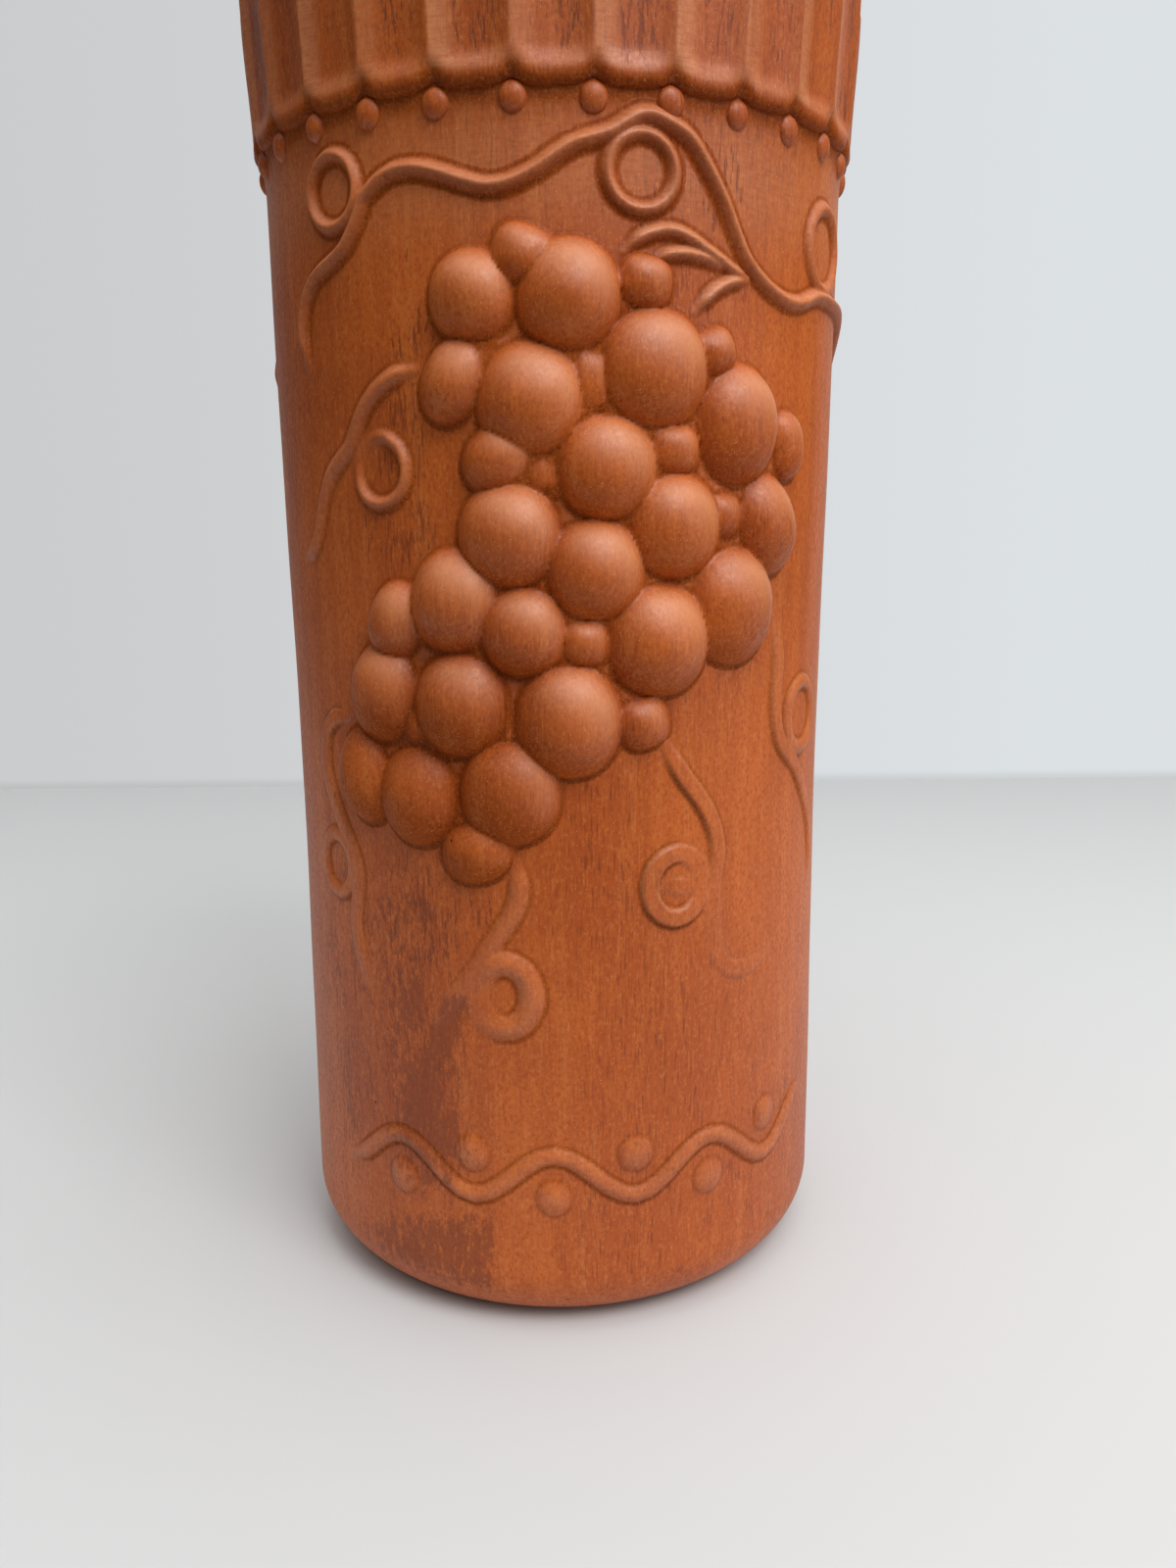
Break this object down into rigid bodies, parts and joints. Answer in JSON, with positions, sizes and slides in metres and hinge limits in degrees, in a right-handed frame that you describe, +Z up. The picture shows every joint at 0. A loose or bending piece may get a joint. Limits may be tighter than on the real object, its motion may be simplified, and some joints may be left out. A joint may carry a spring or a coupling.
{
  "type": "wine crock",
  "caption": "Tall straight terracotta wine cooler with a round well, a fluted collar over a row of beads, and raised grape bunches and curling vines.",
  "frame": {"origin": "middle of the ring that the crock stands on, on the surface it stands on", "axes": "+Z up out of the bottle well, -Y toward the front bunch of grapes, +X to the right of someone facing that bunch"},
  "size_m": [0.1176, 0.1228, 0.254],
  "materials": {
    "terracotta": "unglazed fired red clay, matt",
    "relief_clay": "unglazed fired red clay, matt, pale and rubbed on its tops"
  },
  "bodies": {
    "root": {"base": "terracotta", "wall": "terracotta", "rim": "terracotta", "fluted_collar": "relief_clay", "collar_beads": "relief_clay", "front_grape_bunch": "relief_clay", "back_grape_bunch": "relief_clay", "front_vine": "relief_clay", "back_vine": "relief_clay", "front_stalks": "relief_clay", "back_stalks": "relief_clay", "front_tendrils": "relief_clay", "back_tendrils": "relief_clay", "front_border": "relief_clay", "back_border": "relief_clay"}
  },
  "joints": []
}
